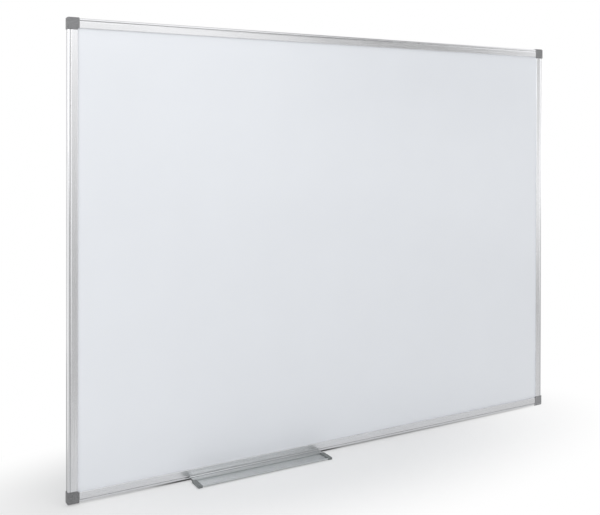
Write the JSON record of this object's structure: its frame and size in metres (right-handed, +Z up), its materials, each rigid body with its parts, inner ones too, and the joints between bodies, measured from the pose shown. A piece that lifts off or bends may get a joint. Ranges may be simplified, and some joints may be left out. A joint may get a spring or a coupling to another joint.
{
  "type": "whiteboard",
  "caption": "Wall-mounted dry-wipe whiteboard in a slim grooved aluminium frame, with pull-off corner covers and a pen tray that slides along the bottom rail.",
  "frame": {"origin": "centre of the four wall screws, on the wall plane", "axes": "+X to the right as seen by someone facing the board, +Y into the wall, +Z up"},
  "size_m": [1.202, 0.0564, 0.9042],
  "materials": {
    "lacquered_steel": "gloss white lacquer, dry-wipe",
    "core": "raw light fibreboard",
    "backing": "dull galvanised sheet",
    "frame_aluminium": "satin anodised, drawn along its length",
    "bracket": "moulded, fine grain",
    "corner_cover": "moulded, fine grain",
    "screw": "bright zinc plated",
    "tray_aluminium": "satin anodised, drawn along its length",
    "tray_cap": "moulded, fine grain"
  },
  "bodies": {
    "board": {"backing_sheet": "backing", "panel_core": "core", "writing_sheet": "lacquered_steel", "top_rail": "frame_aluminium", "bottom_rail": "frame_aluminium", "left_rail": "frame_aluminium", "right_rail": "frame_aluminium", "corner_bracket_top_left": "bracket", "corner_bracket_top_right": "bracket", "corner_bracket_bottom_left": "bracket", "corner_bracket_bottom_right": "bracket", "corner_screws_top_left": "screw", "corner_screws_top_right": "screw", "corner_screws_bottom_left": "screw", "corner_screws_bottom_right": "screw"},
    "pen_tray": {"pen_tray": "tray_aluminium", "tray_end_cap_left": "tray_cap", "tray_end_cap_right": "tray_cap"},
    "corner_cover_top_left": {"corner_cover_top_left": "corner_cover"},
    "corner_cover_top_right": {"corner_cover_top_right": "corner_cover"},
    "corner_cover_bottom_left": {"corner_cover_bottom_left": "corner_cover"},
    "corner_cover_bottom_right": {"corner_cover_bottom_right": "corner_cover"}
  },
  "joints": [
    {"name": "tray_slide", "type": "slide", "parent": "board", "child": "pen_tray", "axis": [1, 0, 0], "range_m": [-0.217, 0.629]},
    {"name": "cover_top_left_pull", "type": "slide", "parent": "board", "child": "corner_cover_top_left", "axis": [0, -1, 0], "range_m": [0, 0.03]},
    {"name": "cover_top_right_pull", "type": "slide", "parent": "board", "child": "corner_cover_top_right", "axis": [0, -1, 0], "range_m": [0, 0.03]},
    {"name": "cover_bottom_left_pull", "type": "slide", "parent": "board", "child": "corner_cover_bottom_left", "axis": [0, -1, 0], "range_m": [0, 0.03]},
    {"name": "cover_bottom_right_pull", "type": "slide", "parent": "board", "child": "corner_cover_bottom_right", "axis": [0, -1, 0], "range_m": [0, 0.03]}
  ]
}
